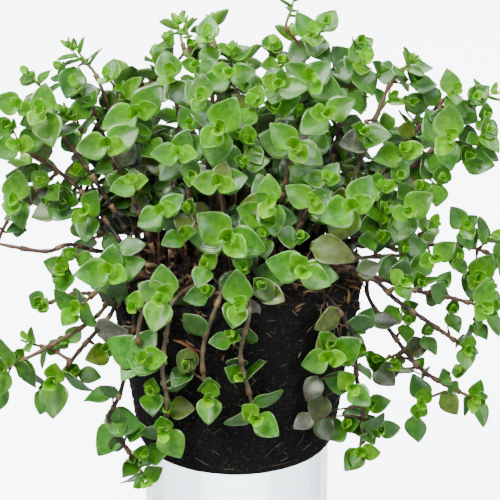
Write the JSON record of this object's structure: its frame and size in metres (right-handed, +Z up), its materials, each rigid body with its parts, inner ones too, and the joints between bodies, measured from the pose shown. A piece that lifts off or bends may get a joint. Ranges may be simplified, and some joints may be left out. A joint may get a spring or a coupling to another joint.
{
  "type": "turtle vine root ball on a clear glass",
  "caption": "Trailing turtle vine with small pointed oval leaves, its bare tapered root ball standing on the mouth of a plain clear glass.",
  "frame": {"origin": "centre of the glass's flat foot, on the surface that it stands on", "axes": "+Z up along the glass's axis; the picture looks along +Y, with +X to its right"},
  "size_m": [0.2483, 0.1717, 0.2902],
  "materials": {
    "clear_glass": "polished",
    "peat": "matte",
    "foliage": "satin"
  },
  "bodies": {
    "root": {"glass": "clear_glass", "root_ball": "peat", "vine_01": "foliage", "vine_02": "foliage", "vine_03": "foliage", "vine_04": "foliage", "vine_05": "foliage", "vine_06": "foliage", "vine_07": "foliage", "vine_08": "foliage", "vine_09": "foliage", "vine_10": "foliage", "vine_11": "foliage", "vine_12": "foliage", "vine_13": "foliage", "vine_14": "foliage", "vine_15": "foliage", "vine_16": "foliage", "vine_17": "foliage", "vine_18": "foliage", "vine_19": "foliage", "vine_20": "foliage", "vine_21": "foliage", "vine_22": "foliage", "vine_23": "foliage", "vine_24": "foliage", "vine_25": "foliage", "vine_26": "foliage", "vine_27": "foliage", "vine_28": "foliage", "vine_29": "foliage", "vine_30": "foliage", "vine_31": "foliage", "vine_32": "foliage", "vine_33": "foliage", "vine_34": "foliage", "vine_35": "foliage", "vine_36": "foliage", "vine_37": "foliage", "vine_38": "foliage", "vine_39": "foliage", "vine_40": "foliage", "vine_41": "foliage", "vine_42": "foliage", "vine_43": "foliage", "vine_44": "foliage", "vine_45": "foliage", "vine_46": "foliage", "vine_47": "foliage", "vine_48": "foliage", "vine_49": "foliage", "vine_50": "foliage", "vine_51": "foliage", "vine_52": "foliage", "vine_53": "foliage", "vine_54": "foliage", "vine_55": "foliage", "vine_56": "foliage", "vine_57": "foliage", "vine_58": "foliage"}
  },
  "joints": []
}
